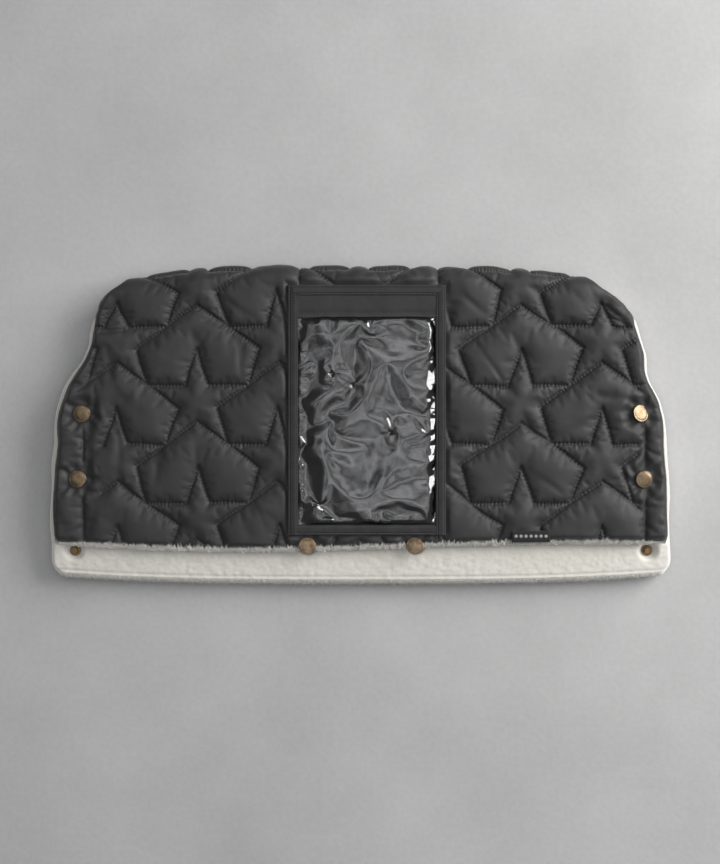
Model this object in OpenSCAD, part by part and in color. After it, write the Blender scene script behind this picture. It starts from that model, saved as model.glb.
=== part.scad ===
// Hand warmer muff for a pushchair handlebar: one quilted, fleece-lined panel folded over
// the bar, closed by snaps, with a clear phone pocket on its front.
// X runs along the handlebar, +Y points to the fold, +Z is up with the muff lying flat.

/* [Panels] */
// Length of the back panel along the handlebar
muff_len = 540; // [500:1:580]
// Depth of the folded muff from the fold to the back panel's lower hem
muff_depth = 278; // [262:1:300]
// How far the back panel shows beyond the front panel at each side
back_overhang = 4; // [2:0.5:8]
// Height of the fleece strip that the front panel leaves bare at its corners
strip_depth = 36; // [30:1:45]
// How much lower the front hem hangs at its middle than at its corners
hem_sag = 9; // [0:0.5:12]
// How far the sides draw in between the hem and the shoulder
shoulder_in = 34; // [20:1:45]
// Radius of the rounded shoulders beside the fold
shoulder_r = 44; // [30:1:55]
// Radius of the back panel's lower corners
back_corner_r = 18; // [8:1:25]
// Radius of the front panel's lower corners
front_corner_r = 6; // [3:1:12]
// Length of the fold between its two open ends
fold_len = 392; // [340:1:400]

/* [Fabric layers] */
// Thickness of the quilted outer cloth
cloth_t = 1; // [0.6:0.1:1.4]
// Thickness of the batting under the outer cloth
batting_t = 6; // [5:0.5:8]
// Thickness of the boa fleece lining with its pile
boa_t = 6.5; // [5:0.5:8]
// Space between the two linings, for the hands and the handlebar
cavity_h = 5; // [5:0.1:5.4]
// Margin at the hems where the batting stops short of the edge
hem_in = 2.5; // [1.5:0.5:4]
// Thickness of the woven tape that backs the snaps
tape_t = 0.8; // [0.4:0.1:1.2]

/* [Snap fasteners] */
// Diameter of the domed cap
cap_d = 15; // [13:0.5:16]
// Height of the cap's dome above its seat
cap_h = 2.8; // [2:0.1:3.2]
// Depth to which a cap pulls the front cloth down
cap_dimple = 4; // [3:0.1:4.4]
// Depth to which a post pulls the back cloth up
post_dimple = 2.4; // [2:0.1:3]
// Outer diameter of the socket
socket_d = 10.4; // [10:0.1:11]
// Diameter of the stud's head
stud_d = 5.5; // [5.3:0.1:5.6]
// Diameter of the stud's flange
stud_flange_d = 9.4; // [8.6:0.1:10]
// Diameter of the post's flange on the back cloth
post_d = 10.4; // [9:0.1:11]
// Distance of the upper side snaps from the middle of the muff
upper_snap_x = 241; // [232:1:244]
// Distance of the lower side snaps from the middle of the muff
lower_snap_x = 244.5; // [236:0.5:246]
// Distance of the corner studs from the middle of the muff
corner_snap_x = 250.5; // [246:0.5:252]
// Distance of the two centre snaps from the middle of the muff
centre_snap_x = 46.5; // [42:0.5:52]

/* [Phone pocket] */
// Overall width of the pocket with its bindings
pocket_w = 136; // [120:1:144]
// Overall height of the pocket from its lower binding to its mouth
pocket_h = 215; // [200:1:218]
// Offset of the pocket's middle from the middle of the muff
pocket_offset = 5; // [0:0.5:8]
// Width of the binding strips
binding_w = 8.6; // [6:0.1:10]
// Height of the cloth band across the pocket's mouth
band_h = 28.5; // [22:0.5:34]
// Space for the phone between the front cloth and the clear film
phone_gap = 5; // [4.8:0.1:6]

/* [Hidden] */
film_t = 0.5;
binding_t = 2;
band_t = 1.2;
band_hem_t = 0.8;
band_hem_w = 8.6;
label_size = [33, 10, 0.7];
label_at = [146.5, -97.5];
tape_w = 24;
side_tape_x = 225;
side_tape_top = 18;
centre_tape_half = 60;
centre_tape_low = 2.3;
gap = 0.3;
round_fn = 64;
wire_w = 0.6;
shank_r = 1.9;
shank_hole_r = 2;
flare_t = 0.5;
curve_steps = 6;

panel_t = cloth_t + batting_t + boa_t;
knuckle_r = panel_t / 2;
top_z = 2 * panel_t + cavity_h;
front_z = panel_t + cavity_h;
hinge_y = muff_depth / 2 - knuckle_r;
hinge_z = [knuckle_r, top_z - knuckle_r];
panel_end_y = hinge_y - knuckle_r - gap;
back_half = muff_len / 2;
front_half = back_half - back_overhang;
back_low = -muff_depth / 2;
front_low = back_low + strip_depth;
shoulder_y = panel_end_y - 24;
side_low_y = front_low + 3;
socket_h = cavity_h - 1.6;
stud_flange_t = 1.1;
stud_top = 3.8;
post_flange_t = 1;
cap_seat_z = top_z - cap_dimple;
upper_snap_y = 8.5;
lower_snap_y = -48;
corner_snap_y = -111;
centre_snap_y = -106;
pocket_low = -96;
pocket_left = pocket_offset - pocket_w / 2;
window_left = pocket_left + binding_w;
window_w = pocket_w - 2 * binding_w;
band_low = pocket_low + pocket_h - band_h;
film_end = band_low + 4;

SNAPS = [
    ["upper_left", [-upper_snap_x, upper_snap_y]],
    ["upper_right", [upper_snap_x, upper_snap_y]],
    ["lower_left", [-lower_snap_x, lower_snap_y]],
    ["lower_right", [lower_snap_x, lower_snap_y]],
    ["centre_left", [-centre_snap_x, centre_snap_y]],
    ["centre_right", [centre_snap_x, centre_snap_y]]
];
CORNER_SNAPS = [
    ["corner_left", [-corner_snap_x, corner_snap_y]],
    ["corner_right", [corner_snap_x, corner_snap_y]]
];
BACK_SNAPS = concat(SNAPS, CORNER_SNAPS);

// ---- panel outlines ----

function arc(c, r, a0, a1, n) =
    [for (i = [0 : n]) let (a = a0 + (a1 - a0) * i / n) c + r * [cos(a), sin(a)]];

// Distance that the side edge is drawn in at height y: a parabola above the hem
function draw_in(y) = shoulder_in * pow(max(0, y - side_low_y) / (shoulder_y - side_low_y), 2);

// Slope of that parabola where it runs into the shoulder arc
shoulder_a = atan(2 * shoulder_in / (shoulder_y - side_low_y));

// Right half of a panel's edge, from its fold end down the side and along the hem.
// half and low are its half width and corner height, r its corner radius, sag its hem sag.
function right_edge(half, low, r, sag) =
    let (
        c = [half - shoulder_in, shoulder_y] - shoulder_r * [cos(shoulder_a), sin(shoulder_a)],
        top_a = asin((panel_end_y - c[1]) / shoulder_r)
    )
    concat(
        arc(c, shoulder_r, top_a, shoulder_a, curve_steps),
        [for (i = [curve_steps - 1 : -1 : 1])
            let (y = side_low_y + (shoulder_y - side_low_y) * i / curve_steps) [half - draw_in(y), y]],
        arc([half - r, low + r], r, 0, -90, curve_steps),
        [for (i = [curve_steps - 1 : -1 : 1])
            let (x = (half - r) * i / curve_steps) [x, low - sag * cos(90 * i / curve_steps)]]
    );

module outline(half, low, r, sag) {
    right = right_edge(half, low, r, sag);
    left = [for (i = [len(right) - 1 : -1 : 0]) [-right[i][0], right[i][1]]];
    polygon(concat(right, [[0, low - sag]], left));
}

module back_slab(z, h, inset = 0) {
    translate([0, 0, z])
        linear_extrude(h)
            outline(back_half - inset, back_low + inset, back_corner_r - inset, 0);
}

module front_slab(z, h, inset = 0) {
    translate([0, 0, z])
        linear_extrude(h)
            outline(front_half - inset, front_low + inset, front_corner_r - inset, hem_sag);
}

// ---- dimples and holes round the snaps ----

module ring(points) {
    rotate_extrude($fn = round_fn) polygon(points);
}

// Space above a dimple of depth d that narrows from radius r1 to radius r0
module dimple_space(r0, r1, d) {
    ring([[0, 1], [r1, 1], [r1, 0], [r0, -d], [0, -d]]);
}

// Cloth that lines the dimple, with the hole for the shank
module dimple_cloth(r0, r1, d) {
    ring([[shank_hole_r, -d], [r0, -d], [r1, 0], [r1, -cloth_t], [r0, -d - cloth_t],
        [shank_hole_r, -d - cloth_t]]);
}

module at_snaps(list, z) {
    for (s = list)
        translate([s[1][0], s[1][1], z])
            children();
}

module shank_holes(list) {
    at_snaps(list, -1)
        cylinder(r = shank_hole_r, h = top_z + 2, $fn = round_fn);
}

cap_r0 = cap_d / 2 + 0.7;
cap_r1 = cap_d / 2 + 4.5;
post_r0 = post_d / 2 + 1;
post_r1 = post_d / 2 + 3.8;

// ---- back panel ----

module back_quilt_cover() {
    color("#35353a")
        union() {
            difference() {
                back_slab(0, cloth_t + batting_t);
                back_slab(cloth_t, batting_t + 1, hem_in);
                at_snaps(BACK_SNAPS, 0) mirror([0, 0, 1]) dimple_space(post_r0, post_r1, post_dimple);
            }
            at_snaps(BACK_SNAPS, 0) mirror([0, 0, 1]) dimple_cloth(post_r0, post_r1, post_dimple);
        }
}

module back_batting() {
    color("#e8e6e0")
        difference() {
            back_slab(cloth_t, batting_t, hem_in);
            at_snaps(BACK_SNAPS, cloth_t) mirror([0, 0, 1]) dimple_space(post_r0, post_r1, post_dimple);
            shank_holes(BACK_SNAPS);
            for (side = [-1, 1]) back_side_tape(side);
            centre_tape(cloth_t + batting_t - tape_t);
        }
}

module back_boa_lining() {
    color("#dcd8cc")
        difference() {
            back_slab(cloth_t + batting_t, boa_t);
            shank_holes(BACK_SNAPS);
        }
}

// ---- tapes that back the snaps, between the batting and the lining ----

module side_tape(side, low, w, z) {
    x0 = side > 0 ? side_tape_x : -side_tape_x - w;
    translate([x0, low, z])
        cube([w, side_tape_top - low, tape_t]);
}

module back_side_tape(side) {
    side_tape(side, back_low + back_corner_r, tape_w + 4, cloth_t + batting_t - tape_t);
}

module front_side_tape(side) {
    side_tape(side, front_low + front_corner_r, tape_w, front_z + boa_t);
}

module centre_tape(z) {
    translate([-centre_tape_half, centre_snap_y - centre_tape_low, z])
        cube([2 * centre_tape_half, tape_w / 2, tape_t]);
}

module drilled_tape(list) {
    color("#b9b4a8")
        difference() {
            children();
            shank_holes(list);
        }
}

module back_tape_left() { drilled_tape(BACK_SNAPS) back_side_tape(-1); }
module back_tape_right() { drilled_tape(BACK_SNAPS) back_side_tape(1); }
module back_tape_centre() { drilled_tape(SNAPS) centre_tape(cloth_t + batting_t - tape_t); }
module front_tape_left() { drilled_tape(SNAPS) front_side_tape(-1); }
module front_tape_right() { drilled_tape(SNAPS) front_side_tape(1); }
module front_tape_centre() { drilled_tape(SNAPS) centre_tape(front_z + boa_t); }

// ---- fold: an upright bar that turns about two lines, one at each panel ----

module fold_bar(r) {
    for (z = hinge_z)
        translate([-fold_len / 2, hinge_y, z])
            rotate([0, 90, 0])
                cylinder(r = r, h = fold_len, $fn = round_fn);
    translate([-fold_len / 2, hinge_y - r, hinge_z[0]])
        cube([fold_len, 2 * r, hinge_z[1] - hinge_z[0]]);
}

lining_face_y = hinge_y - knuckle_r + boa_t;

// Everything on the outer side of the plane between lining and batting
module outer_side() {
    translate([-fold_len, lining_face_y, -1])
        cube([2 * fold_len, 2 * panel_t, top_z + 2]);
}

module fold_quilt_cover() {
    color("#35353a")
        intersection() {
            difference() {
                fold_bar(knuckle_r);
                scale([1.01, 1, 1]) fold_core();
            }
            outer_side();
        }
}

module fold_core() {
    for (z = hinge_z)
        translate([-fold_len, hinge_y, z])
            rotate([0, 90, 0])
                cylinder(r = knuckle_r - cloth_t, h = 2 * fold_len, $fn = round_fn);
    translate([-fold_len, hinge_y - knuckle_r + cloth_t, hinge_z[0]])
        cube([2 * fold_len, 2 * (knuckle_r - cloth_t), hinge_z[1] - hinge_z[0]]);
}

module fold_batting() {
    color("#e8e6e0")
        intersection() {
            fold_bar(knuckle_r - cloth_t);
            outer_side();
        }
}

module fold_boa_lining() {
    color("#dcd8cc")
        difference() {
            fold_bar(knuckle_r);
            outer_side();
        }
}

// ---- front panel ----

module front_boa_lining() {
    color("#dcd8cc")
        difference() {
            front_slab(front_z, boa_t);
            shank_holes(SNAPS);
        }
}

module front_batting() {
    color("#e8e6e0")
        difference() {
            front_slab(front_z + boa_t, batting_t, hem_in);
            at_snaps(SNAPS, top_z - cloth_t) dimple_space(cap_r0, cap_r1, cap_dimple);
            shank_holes(SNAPS);
            for (side = [-1, 1]) front_side_tape(side);
            centre_tape(front_z + boa_t);
        }
}

module front_quilt_cover() {
    color("#35353a")
        union() {
            difference() {
                front_slab(front_z + boa_t, cloth_t + batting_t);
                front_slab(front_z + boa_t - 1, batting_t + 1, hem_in);
                at_snaps(SNAPS, top_z) dimple_space(cap_r0, cap_r1, cap_dimple);
            }
            intersection() {
                at_snaps(SNAPS, top_z) dimple_cloth(cap_r0, cap_r1, cap_dimple);
                front_slab(front_z + boa_t, cloth_t + batting_t);
            }
        }
}

// ---- snap fasteners: cap and socket on the front panel, stud and post on the back ----

socket_z = front_z - socket_h;
socket_roof_t = 0.4;
socket_floor_t = 0.6;
mouth_r = stud_d / 2 + 0.2;
cavity_r = socket_d / 2 - 1;

module snap_cap() {
    r = cap_d / 2;
    rim = 0.9;
    flare_z = front_z - socket_roof_t - cap_seat_z;
    color("#8a6f4e")
        ring(concat(
            [for (i = [0 : 8]) let (a = 90 * i / 8) [r * sin(a), rim + (cap_h - rim) * cos(a)]],
            [[r, 0.3], [r - 0.3, 0], [shank_r, 0], [shank_r, flare_z],
                [shank_r + 0.7, flare_z], [shank_r + 0.5, flare_z - flare_t], [0, flare_z - flare_t]]
        ));
}

module snap_socket() {
    r = socket_d / 2;
    roof = socket_h - socket_roof_t;
    color("#9a8a68")
        ring([[mouth_r, 0], [r - 0.4, 0], [r, 0.4], [r, socket_h], [shank_hole_r, socket_h],
            [shank_hole_r, roof], [cavity_r, roof], [cavity_r, socket_floor_t], [mouth_r, socket_floor_t]]);
}

// One spring: two straight legs beside the stud, joined by an arc inside the socket's wall
module snap_spring() {
    leg_x = stud_d / 2 + 0.05;
    arc_r = cavity_r - wire_w - 0.05;
    leg_y = sqrt(pow(arc_r + wire_w / 2, 2) - pow(leg_x + wire_w / 2, 2));
    color("#c9ccd0")
        linear_extrude(wire_w) {
            for (x = [-leg_x - wire_w, leg_x])
                translate([x, -leg_y]) square([wire_w, 2 * leg_y]);
            intersection() {
                difference() {
                    circle(r = arc_r + wire_w, $fn = round_fn);
                    circle(r = arc_r, $fn = round_fn);
                }
                translate([-cavity_r, leg_y - wire_w / 4]) square([2 * cavity_r, cavity_r]);
            }
        }
}

module snap_stud() {
    r = stud_d / 2;
    color("#6d5840")
        ring([[shank_hole_r, 0], [stud_flange_d / 2, 0], [stud_flange_d / 2, stud_flange_t - 0.3],
            [stud_flange_d / 2 - 0.3, stud_flange_t], [r, stud_flange_t], [r, stud_top - 0.3],
            [r - 0.3, stud_top], [r - 0.4, stud_top], [r - 0.4, stud_top - flare_t - 0.1],
            [shank_hole_r, stud_top - flare_t - 0.1]]);
}

module snap_post() {
    flare_z = panel_t - post_dimple + stud_top - flare_t - 0.1;
    color("#8a6f4e")
        ring([[0, -post_flange_t], [post_d / 2 - 0.3, -post_flange_t], [post_d / 2, -post_flange_t + 0.3],
            [post_d / 2, 0], [shank_r, 0], [shank_r, flare_z], [shank_r + 0.4, flare_z],
            [shank_r + 0.4, flare_z + flare_t], [0, flare_z + flare_t]]);
}

// ---- phone pocket ----

module pocket_window() {
    low = pocket_low + binding_w;
    color("#c8d0d4", 0.4)
        difference() {
            union() {
                translate([pocket_left + 1, pocket_low + 1, top_z])
                    cube([pocket_w - 2, film_end - pocket_low - 1, film_t]);
                translate([window_left, low, top_z])
                    cube([window_w, film_end - low, phone_gap + film_t]);
            }
            translate([window_left + film_t, low + film_t, top_z - 1])
                cube([window_w - 2 * film_t, film_end - low, phone_gap + 1]);
        }
}

module binding(x, y, w, h) {
    color("#2b2b30")
        difference() {
            translate([x, y, top_z]) cube([w, h, binding_t]);
            translate([pocket_left + 1, pocket_low + 1, top_z - 1])
                cube([pocket_w - 2, film_end - pocket_low - 1, film_t + 1]);
        }
}

module pocket_binding_left() {
    binding(pocket_left, pocket_low, binding_w, pocket_h);
}

module pocket_binding_right() {
    binding(window_left + window_w, pocket_low, binding_w, pocket_h);
}

module pocket_binding_bottom() {
    binding(window_left, pocket_low, window_w, binding_w);
}

module pocket_top_band() {
    under_z = top_z + phone_gap + film_t;
    leg_len = pocket_low + pocket_h - film_end;
    color("#303036")
        union() {
            translate([window_left, band_low, under_z])
                cube([window_w, band_h, band_t]);
            for (x = [window_left, window_left + window_w - band_t])
                translate([x, film_end, top_z])
                    cube([band_t, leg_len, phone_gap + film_t + band_t]);
        }
}

module pocket_band_hem() {
    color("#2b2b30")
        translate([window_left, pocket_low + pocket_h - band_hem_w, top_z + phone_gap + film_t + band_t])
            cube([window_w, band_hem_w, band_hem_t]);
}

module woven_label() {
    color("#17171a")
        translate([label_at[0] - label_size[0] / 2, label_at[1] - label_size[1] / 2, top_z])
            cube(label_size);
}

// ---- one line per node, and a loop for each kind of snap piece ----

back_quilt_cover();
back_batting();
back_boa_lining();
back_tape_left();
back_tape_right();
back_tape_centre();
fold_quilt_cover();
fold_batting();
fold_boa_lining();
front_boa_lining();
front_batting();
front_quilt_cover();
front_tape_left();
front_tape_right();
front_tape_centre();
for (s = BACK_SNAPS) {
    at_snaps([s], panel_t) snap_stud();
    at_snaps([s], post_dimple) snap_post();
}
for (s = SNAPS) {
    at_snaps([s], cap_seat_z) snap_cap();
    at_snaps([s], socket_z) snap_socket();
    at_snaps([s], socket_z + 1) snap_spring();
}
pocket_window();
pocket_top_band();
pocket_band_hem();
pocket_binding_left();
pocket_binding_right();
pocket_binding_bottom();
woven_label();
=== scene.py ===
import math

import bpy
import numpy as np
from mathutils import Euler, Matrix, Vector


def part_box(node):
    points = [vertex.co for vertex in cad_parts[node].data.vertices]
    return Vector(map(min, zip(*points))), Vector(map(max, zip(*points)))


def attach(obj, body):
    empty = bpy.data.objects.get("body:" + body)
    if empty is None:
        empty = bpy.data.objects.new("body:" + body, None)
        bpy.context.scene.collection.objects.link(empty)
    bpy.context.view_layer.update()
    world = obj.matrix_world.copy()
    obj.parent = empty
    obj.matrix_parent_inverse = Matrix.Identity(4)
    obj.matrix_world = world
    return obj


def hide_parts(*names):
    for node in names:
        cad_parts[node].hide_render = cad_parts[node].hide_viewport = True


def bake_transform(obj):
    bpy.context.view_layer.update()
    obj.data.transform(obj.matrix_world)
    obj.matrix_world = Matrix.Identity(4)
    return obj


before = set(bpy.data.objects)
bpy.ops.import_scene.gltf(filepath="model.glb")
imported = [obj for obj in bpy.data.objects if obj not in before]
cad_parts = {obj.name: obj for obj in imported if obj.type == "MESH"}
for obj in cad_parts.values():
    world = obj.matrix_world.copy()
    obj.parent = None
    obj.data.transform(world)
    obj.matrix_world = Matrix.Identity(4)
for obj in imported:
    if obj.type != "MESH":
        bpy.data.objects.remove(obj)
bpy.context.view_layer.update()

MM = 0.001


# ---- measures, from the frame

FRONT_LOW, FRONT_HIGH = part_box("front_quilt_cover")
BACK_LOW, BACK_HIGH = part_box("back_quilt_cover")
FOLD_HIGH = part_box("fold_quilt_cover")[1]
FILM_LOW, FILM_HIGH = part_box("pocket_window")
BAND_LOW, BAND_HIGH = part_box("pocket_top_band")
HEM_LOW, HEM_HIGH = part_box("pocket_band_hem")
LABEL_LOW, LABEL_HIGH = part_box("woven_label")
SNAPS = [f"{level}_{side}" for level in ("upper", "lower", "centre") for side in ("left", "right")]
CORNERS = ["corner_left", "corner_right"]

SEAM_DEPTH = 3.5 * MM     # of the quilting seams under the CAD cover's face
PUFF = 5.6 * MM           # height of the fullest puff over its seams
LINING_DEPTH = 10 * MM    # of the fleece's face under the seams
FRONT_Z = FRONT_HIGH.z - SEAM_DEPTH
BACK_Z = BACK_LOW.z + SEAM_DEPTH
MIDDLE_Z = (FRONT_Z + BACK_Z) / 2
BEND_TALL = (FRONT_Z - BACK_Z) / 2
BEND_LONG = 14 * MM
BEND_Y = FOLD_HIGH.y - BEND_LONG - SEAM_DEPTH

# The quilting: upright five-pointed stars, tip to tip, in columns shifted by half a row
STAR_R = 45.45 * MM
STAR_INNER = 0.382        # inner corners' radius as a share of STAR_R
COLUMN = STAR_R * (math.sin(math.radians(36)) + math.sin(math.radians(72)))
ROW = STAR_R * (math.cos(math.radians(36)) + math.cos(math.radians(72))) + 0.3 * MM
STAR_X = -1.7 * MM
STAR_S = 19 * MM

# Sewn lines of the front besides the stars
CHANNELS = (FILM_LOW.x + 8.3 * MM, FILM_HIGH.x - 5.3 * MM)
SNAP_LINE = (241 * MM, 246 * MM)      # left and right
BORDER = (224 * MM, 240 * MM)         # where the stars end, left and right
STITCH_PITCH = 2.8 * MM
STITCH_LONG = 2.0 * MM
STITCH_R = 0.27 * MM

# Edges
CORNER_FRONT = 6 * MM
CORNER_BACK = 15 * MM
ROLL = 6 * MM             # width of an edge's rounding
ROLL_FRONT = 5 * MM       # how deep the front's cloth wraps round its edge
ROLL_BACK = 3 * MM
OVERLAP = 1.5 * MM        # of the back's cloth and fleece past the fold's crest

# How far the muff reaches to its left and right at some heights up the panels, the last on the fold's crest
LEFT = [(-112, 267), (-20, 264), (25, 257), (40, 250), (60, 238), (80, 232), (108, 229), (121.5, 224),
        (134, 211), (142, 201)]
RIGHT = [(-112, 267), (-20, 263), (12, 260), (27, 255), (38, 249), (62, 245), (85, 238), (108, 232),
         (121.5, 222), (134, 207), (142, 197)]


# ---- small tools


def smooth(t):
    """0 below 0, 1 above 1, with an eased climb between."""
    t = np.clip(t, 0, 1)
    return t * t * (3 - 2 * t)


def noise(x, y, size, seed):
    """Smooth random field, mostly from -1 to 1, whose lumps are about size across."""
    count = 256
    angles = np.random.default_rng(seed).uniform(0, 2 * np.pi, (count, count))
    u, v = x / size + 1000.37, y / size + 1000.61
    i, j = np.floor(u).astype(int), np.floor(v).astype(int)
    a, b = u - i, v - j

    def slope(di, dj):
        angle = angles[(i + di) % count, (j + dj) % count]
        return np.cos(angle) * (a - di) + np.sin(angle) * (b - dj)

    ease_a, ease_b = smooth(a), smooth(b)
    low = slope(0, 0) * (1 - ease_a) + slope(1, 0) * ease_a
    high = slope(0, 1) * (1 - ease_a) + slope(1, 1) * ease_a
    return 1.5 * (low * (1 - ease_b) + high * ease_b)


def through(points, at):
    """Smooth curve through a few (place, value) points, read at any places."""
    place, value = np.array(points, float).T
    slope = np.gradient(value, place)
    i = np.clip(np.searchsorted(place, at) - 1, 0, len(place) - 2)
    width = place[i + 1] - place[i]
    t = np.clip((at - place[i]) / width, 0, 1)
    start = value[i] + slope[i] * width * t
    end = value[i + 1] - slope[i + 1] * width * (1 - t)
    return start + (end - start) * smooth(t)


def sampled(table, row, column):
    """Value of a table between its cells, by a cubic through the nearest four each way."""
    i, j = np.floor(row).astype(int), np.floor(column).astype(int)

    def weights(t):
        return (-t * (1 - t) ** 2 / 2, (2 - 5 * t * t + 3 * t ** 3) / 2,
                t * (1 + 4 * t - 3 * t * t) / 2, -t * t * (1 - t) / 2)

    total = 0
    for di, wi in enumerate(weights(row - i)):
        for dj, wj in enumerate(weights(column - j)):
            cell = table[(i + di - 1) % table.shape[0], (j + dj - 1) % table.shape[1]]
            total = total + (wi * wj).reshape(i.shape + (1,) * (cell.ndim - i.ndim)) * cell
    return total


def steps(length, cell, close_start, close_end):
    """Shares from 0 to 1 of a length, about a cell apart, and closer in a rolled edge at either end."""
    count = 9
    roll = ROLL * (1 - np.cos(np.linspace(0, np.pi / 2, count + 1)))[:-1]
    start = roll if close_start else []
    end = (length - roll)[::-1] if close_end else []
    low = ROLL if close_start else 0
    high = length - ROLL if close_end else length
    middle = np.linspace(low, high, max(2, round((high - low) / cell) + 1))
    return np.concatenate([start, middle, end]) / length


def mesh_piece(name, vertices, faces, material, uv=None):
    """A smooth-shaded mesh object; uv gives each vertex's cloth coordinates."""
    mesh = bpy.data.meshes.new(name)
    mesh.from_pydata(vertices, [], faces)
    mesh.polygons.foreach_set("use_smooth", np.ones(len(mesh.polygons), bool))
    if uv is not None:
        corners = np.zeros(len(mesh.loops), int)
        mesh.loops.foreach_get("vertex_index", corners)
        mesh.uv_layers.new(name="Cloth").data.foreach_set("uv", np.asarray(uv)[corners].ravel())
    if material is not None:
        mesh.materials.append(material)
    piece = bpy.data.objects.new(name, mesh)
    bpy.context.scene.collection.objects.link(piece)
    return piece


def grid_faces(rows, columns, turned=False, first=0):
    """Quads between neighbouring points of a grid; turned makes them face the other way."""
    index = np.arange(rows * columns).reshape(rows, columns) + first
    quads = np.stack([index[:-1, :-1], index[:-1, 1:], index[1:, 1:], index[1:, :-1]], axis=-1)
    quads = quads.reshape(-1, 4)
    return quads[:, ::-1] if turned else quads


def grid_piece(name, points, uv, material, turned=False):
    """A sheet of quads from a grid of points."""
    rows, columns = points.shape[:2]
    return mesh_piece(name, points.reshape(-1, 3), grid_faces(rows, columns, turned), material,
                      uv.reshape(-1, 2))


# ---- the cloth's section and outline

BEND_ANGLE = np.linspace(0, np.pi, 721)
BEND_S = np.concatenate([[0], np.cumsum(np.hypot(np.diff(BEND_LONG * np.sin(BEND_ANGLE)),
                                                 np.diff(BEND_TALL * np.cos(BEND_ANGLE))))])
CREST = BEND_Y + BEND_S[-1] / 2


def level(s):
    """Height up the panel, the same for the front and for the back under it; CREST at the fold's crest."""
    return np.minimum(s, 2 * CREST - s)


def path(s):
    """Place (y, z) and outward normal (y, z) of the seam-level cloth."""
    along = s - BEND_Y
    angle = np.interp(along, BEND_S, BEND_ANGLE)
    y = BEND_Y + BEND_LONG * np.sin(angle) + np.minimum(along, 0) - np.maximum(along - BEND_S[-1], 0)
    z = MIDDLE_Z + BEND_TALL * np.cos(angle)
    normal = np.stack([np.sin(angle) / BEND_LONG, np.cos(angle) / BEND_TALL])
    normal /= np.linalg.norm(normal, axis=0)
    return y, z, normal[0], normal[1]


def crest_drop(x, s):
    """How far the fold falls back towards its ends."""
    end = np.clip((np.abs(x) / MM - 105) / 95, 0, 1.1)
    return 10 * MM * end ** 2 * smooth((level(s) - 80 * MM) / (BEND_Y - 80 * MM))


def bent(piece, back):
    """Bakes a piece's place into its mesh, the same way for the back as for the front."""
    if back:
        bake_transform(piece)
    else:
        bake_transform(piece)


def half_width(height, back, side):
    """How far the muff reaches to its side, -1 or 1, at a height up a panel."""
    half = np.where(np.asarray(side) < 0, through(LEFT, height / MM), through(RIGHT, height / MM)) * MM
    half = half + (0.8 * MM) * noise(height, side + 0 * height, 26 * MM, 5)
    overhang = (6.4 + 1.6 * noise(height, 3.0 * side + 0 * height, 38 * MM, 6)) * MM
    return half + np.where(back, overhang * smooth((CREST - 27 * MM - height) / (34 * MM)), 0)


def front_hem(x):
    """Height of the front's lower edge: it sags in the middle, more to the left."""
    turn = np.pi * x / (2 * FRONT_HIGH.x)
    return -102.5 * MM - 4.6 * MM * np.cos(turn) + 2.8 * MM * np.sin(2 * turn)


def back_hem(x):
    """Height of the back's lower edge, which rises to its corners."""
    return BACK_LOW.y - 1.8 * MM + 7 * MM * np.abs(x / BACK_HIGH.x) ** 3


def edge_distance(x, s):
    """How far a place on the cloth is from its sides and hem, whose corners are round."""
    back = s > CREST
    height = level(s)
    corner = np.where(back, CORNER_BACK, CORNER_FRONT)
    heights = np.arange(-140, 143)
    left, right = (np.gradient(through(outline, heights), 1.0) for outline in (LEFT, RIGHT))
    steep = np.where(x < 0, np.interp(height / MM, heights, left), np.interp(height / MM, heights, right))
    side = (half_width(height, back, np.sign(x)) - np.abs(x)) / np.hypot(1, steep)
    hem = height - np.where(back, back_hem(x), front_hem(x))
    nearest = corner - np.hypot(np.maximum(corner - side, 0), np.maximum(corner - hem, 0))
    return np.where((side > corner) & (hem > corner), np.minimum(side, hem), nearest)


def wrap_depth(s):
    """How deep the outer cloth wraps round the edge before it meets the fleece."""
    return ROLL_FRONT + (ROLL_BACK - ROLL_FRONT) * smooth((s - BEND_Y) / BEND_S[-1])


def rounding(distance):
    """1 at the edge, falling to 0 over the edge's rounding as a quarter of an ellipse does."""
    t = np.clip(1 - distance / ROLL, 0, 1)
    return 1 - np.sqrt(1 - t * t)


# ---- cloth simulation


def simulated(points, held, frames, pressure, growth, stiffness, bending):
    """Grid points after a cloth simulation: held ones stay, and the cloth between them is cut too large."""
    enlarged = 10         # the solver is steadier on a larger copy
    rows, columns = held.shape
    sheet = mesh_piece("simulated", (points * enlarged).reshape(-1, 3), grid_faces(rows, columns), None)
    sheet.vertex_groups.new(name="held").add([int(i) for i in np.flatnonzero(held)], 1.0, "REPLACE")
    modifier = sheet.modifiers.new("cloth", "CLOTH")
    cloth = modifier.settings
    cloth.quality = 5
    cloth.mass = 0.3
    cloth.tension_stiffness = cloth.compression_stiffness = stiffness
    cloth.shear_stiffness = stiffness / 2
    cloth.bending_stiffness = bending
    cloth.use_pressure = pressure > 0
    cloth.uniform_pressure_force = pressure
    cloth.shrink_min = -growth
    cloth.vertex_group_mass = "held"
    cloth.effector_weights.gravity = 0
    modifier.collision_settings.use_collision = False
    modifier.point_cache.frame_end = frames
    for number in range(1, frames + 1):
        bpy.context.scene.frame_set(number)
    moved = np.zeros(rows * columns * 3)
    result = sheet.evaluated_get(bpy.context.evaluated_depsgraph_get())
    result.data.vertices.foreach_get("co", moved)
    bpy.data.objects.remove(sheet)
    return moved.reshape(rows, columns, 3) / enlarged


# ---- the quilting's relief


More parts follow.
